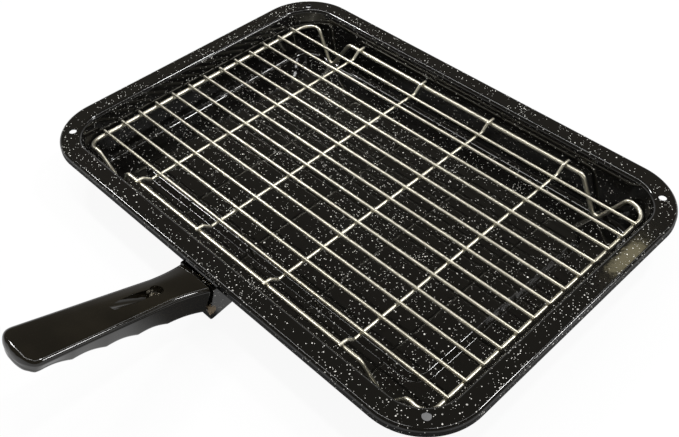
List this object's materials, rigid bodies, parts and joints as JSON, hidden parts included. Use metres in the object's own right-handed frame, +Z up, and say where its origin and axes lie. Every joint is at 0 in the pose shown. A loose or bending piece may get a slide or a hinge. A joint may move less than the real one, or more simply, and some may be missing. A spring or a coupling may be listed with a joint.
{
  "type": "broiler pan",
  "caption": "Shallow enamelled steel tray with a wide rim, a loose wire rack on bent legs and a hook-on moulded handle.",
  "frame": {"origin": "on the standing plane, under the middle of the tray", "axes": "+X along the tray's long side, +Z up, and the handle points towards -Y"},
  "size_m": [0.396, 0.413, 0.0733],
  "materials": {
    "enamel": "glossy black vitreous enamel with fine pale speckles",
    "frame_wire": "bright plated wire",
    "grid_wire": "bright plated wire",
    "moulded_grip": "glossy black thermoset moulding",
    "plated_steel": "zinc-plated strip",
    "screw_steel": "zinc-plated screw"
  },
  "bodies": {
    "root": {"tray": "enamel", "handle_bracket": "enamel", "rack_frame": "frame_wire", "long_wire_01": "grid_wire", "long_wire_02": "grid_wire", "long_wire_03": "grid_wire", "long_wire_04": "grid_wire", "long_wire_05": "grid_wire", "long_wire_06": "grid_wire", "long_wire_07": "grid_wire", "long_wire_08": "grid_wire", "long_wire_09": "grid_wire", "long_wire_10": "grid_wire", "long_wire_11": "grid_wire", "long_wire_12": "grid_wire", "long_wire_13": "grid_wire", "cross_wire_01": "grid_wire", "cross_wire_02": "grid_wire", "cross_wire_03": "grid_wire", "cross_wire_04": "grid_wire", "handle_tongue": "plated_steel", "handle_grip": "moulded_grip", "handle_screw": "screw_steel"}
  },
  "joints": []
}
